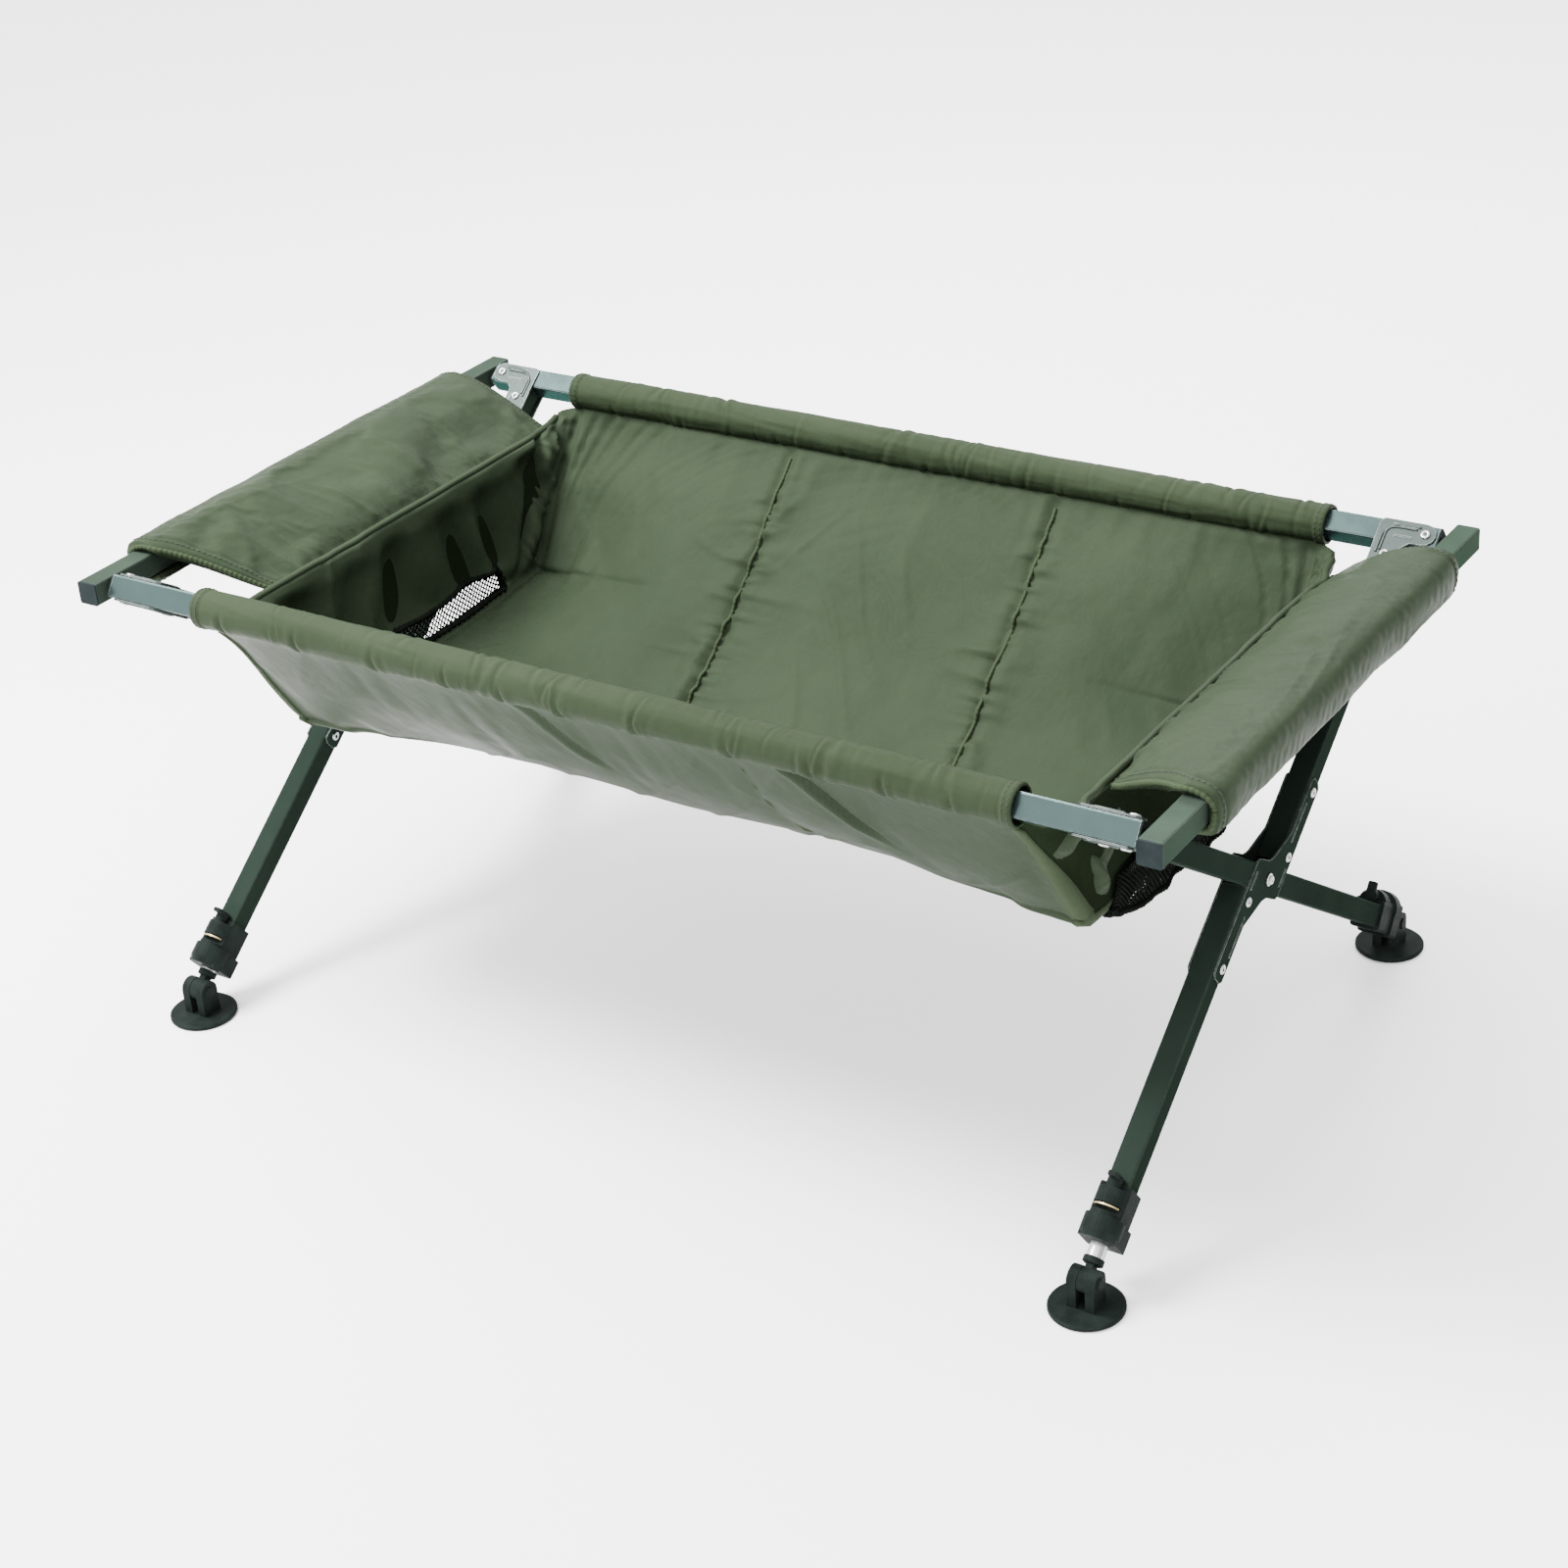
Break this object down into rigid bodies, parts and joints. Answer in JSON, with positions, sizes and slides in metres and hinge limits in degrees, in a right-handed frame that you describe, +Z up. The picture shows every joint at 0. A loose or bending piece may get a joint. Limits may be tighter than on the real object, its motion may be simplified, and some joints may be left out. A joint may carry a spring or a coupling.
{
  "type": "folding cradle",
  "caption": "Folding scissor-legged tube frame with a padded fabric basin slung between its side rails, padded end bars and tilting disc feet.",
  "frame": {"origin": "centre of the footprint, on the ground", "axes": "+X along the length, towards the picture's right; +Y across, away from the picture's camera; +Z up"},
  "size_m": [1.292, 0.792, 0.527],
  "materials": {
    "frame_paint": "satin grey-green paint on square tube",
    "rail_paint": "smooth blue-grey paint on square tube",
    "pressed_plate": "pressed sheet, satin paint",
    "bright_steel": "bright plated",
    "spring_brass": "bright strip",
    "black_plastic": "moulded, fine texture",
    "cap_plastic": "moulded, smooth",
    "padded_fabric": "satin olive nylon over padding",
    "drain_mesh": "open black netting"
  },
  "bodies": {
    "near_frame": {"near_rail": "rail_paint", "near_sleeve": "padded_fabric", "basin": "padded_fabric", "mesh_window_left": "drain_mesh", "mesh_window_right": "drain_mesh", "near_stud_left": "black_plastic", "near_frame_leg_left": "frame_paint", "near_corner_upper_left": "pressed_plate", "near_corner_lower_left": "pressed_plate", "far_foot_left_housing": "black_plastic", "far_foot_left_lock_spring": "spring_brass", "near_stud_right": "black_plastic", "near_frame_leg_right": "frame_paint", "near_corner_upper_right": "pressed_plate", "near_corner_lower_right": "pressed_plate", "far_foot_right_housing": "black_plastic", "far_foot_right_lock_spring": "spring_brass"},
    "far_frame": {"far_rail": "rail_paint", "far_sleeve": "padded_fabric", "far_stud_left": "black_plastic", "far_frame_upper_leg_left": "frame_paint", "far_frame_lower_leg_left": "frame_paint", "far_corner_upper_left": "pressed_plate", "far_corner_lower_left": "pressed_plate", "scissor_plate_outer_left": "pressed_plate", "scissor_plate_inner_left": "pressed_plate", "pivot_bolt_left": "bright_steel", "near_foot_left_housing": "black_plastic", "near_foot_left_lock_spring": "spring_brass", "far_stud_right": "black_plastic", "far_frame_upper_leg_right": "frame_paint", "far_frame_lower_leg_right": "frame_paint", "far_corner_upper_right": "pressed_plate", "far_corner_lower_right": "pressed_plate", "scissor_plate_outer_right": "pressed_plate", "scissor_plate_inner_right": "pressed_plate", "pivot_bolt_right": "bright_steel", "near_foot_right_housing": "black_plastic", "near_foot_right_lock_spring": "spring_brass"},
    "end_bar_left_group": {"end_bar_left": "frame_paint", "end_bar_cap_near_left": "cap_plastic", "end_bar_cap_far_left": "cap_plastic", "bolster_left": "padded_fabric"},
    "end_bar_right_group": {"end_bar_right": "frame_paint", "end_bar_cap_near_right": "cap_plastic", "end_bar_cap_far_right": "cap_plastic", "bolster_right": "padded_fabric"},
    "far_foot_left_stem": {"far_foot_left_stem_rod": "bright_steel", "far_foot_left_stem_head": "black_plastic"},
    "far_foot_left_pad": {"far_foot_left_disc": "black_plastic"},
    "far_foot_right_stem": {"far_foot_right_stem_rod": "bright_steel", "far_foot_right_stem_head": "black_plastic"},
    "far_foot_right_pad": {"far_foot_right_disc": "black_plastic"},
    "near_foot_left_stem": {"near_foot_left_stem_rod": "bright_steel", "near_foot_left_stem_head": "black_plastic"},
    "near_foot_left_pad": {"near_foot_left_disc": "black_plastic"},
    "near_foot_right_stem": {"near_foot_right_stem_rod": "bright_steel", "near_foot_right_stem_head": "black_plastic"},
    "near_foot_right_pad": {"near_foot_right_disc": "black_plastic"}
  },
  "joints": [
    {"name": "scissor_fold", "type": "hinge", "parent": "near_frame", "child": "far_frame", "pos_m": [0, 0.00364, 0.27677], "axis": [1, 0, 0], "range_deg": [0, 98], "deforming": ["basin", "mesh_window_left", "mesh_window_right", "near_sleeve", "far_sleeve"]},
    {"name": "end_bar_left_swing", "type": "hinge", "parent": "near_frame", "child": "end_bar_left_group", "pos_m": [-0.6225, -0.32285, 0.502], "axis": [1, 0, 0], "range_deg": [-35, 0], "deforming": ["bolster_left"]},
    {"name": "end_bar_right_swing", "type": "hinge", "parent": "near_frame", "child": "end_bar_right_group", "pos_m": [0.6225, -0.32285, 0.502], "axis": [1, 0, 0], "range_deg": [-35, 0], "deforming": ["bolster_right"]},
    {"name": "far_foot_left_extend", "type": "slide", "parent": "near_frame", "child": "far_foot_left_stem", "axis": [0, 0.8231, -0.5678], "range_m": [0, 0.08]},
    {"name": "far_foot_left_tilt", "type": "hinge", "parent": "far_foot_left_stem", "child": "far_foot_left_pad", "pos_m": [-0.5565, 0.35846, 0.032], "axis": [1, 0, 0], "range_deg": [-25, 45]},
    {"name": "far_foot_right_extend", "type": "slide", "parent": "near_frame", "child": "far_foot_right_stem", "axis": [0, 0.8231, -0.5678], "range_m": [0, 0.08]},
    {"name": "far_foot_right_tilt", "type": "hinge", "parent": "far_foot_right_stem", "child": "far_foot_right_pad", "pos_m": [0.5565, 0.35846, 0.032], "axis": [1, 0, 0], "range_deg": [-25, 45]},
    {"name": "near_foot_left_extend", "type": "slide", "parent": "far_frame", "child": "near_foot_left_stem", "axis": [0, -0.7923, -0.6101], "range_m": [0, 0.08]},
    {"name": "near_foot_left_tilt", "type": "hinge", "parent": "near_foot_left_stem", "child": "near_foot_left_pad", "pos_m": [-0.5565, -0.35846, 0.032], "axis": [1, 0, 0], "range_deg": [-45, 25]},
    {"name": "near_foot_right_extend", "type": "slide", "parent": "far_frame", "child": "near_foot_right_stem", "axis": [0, -0.7923, -0.6101], "range_m": [-0.012, 0.068]},
    {"name": "near_foot_right_tilt", "type": "hinge", "parent": "near_foot_right_stem", "child": "near_foot_right_pad", "pos_m": [0.5565, -0.35846, 0.032], "axis": [1, 0, 0], "range_deg": [-45, 25]}
  ],
  "couplings": [
    {"joint": "end_bar_left_swing", "follows": "scissor_fold", "ratio": -0.357},
    {"joint": "end_bar_right_swing", "follows": "scissor_fold", "ratio": -0.357}
  ]
}
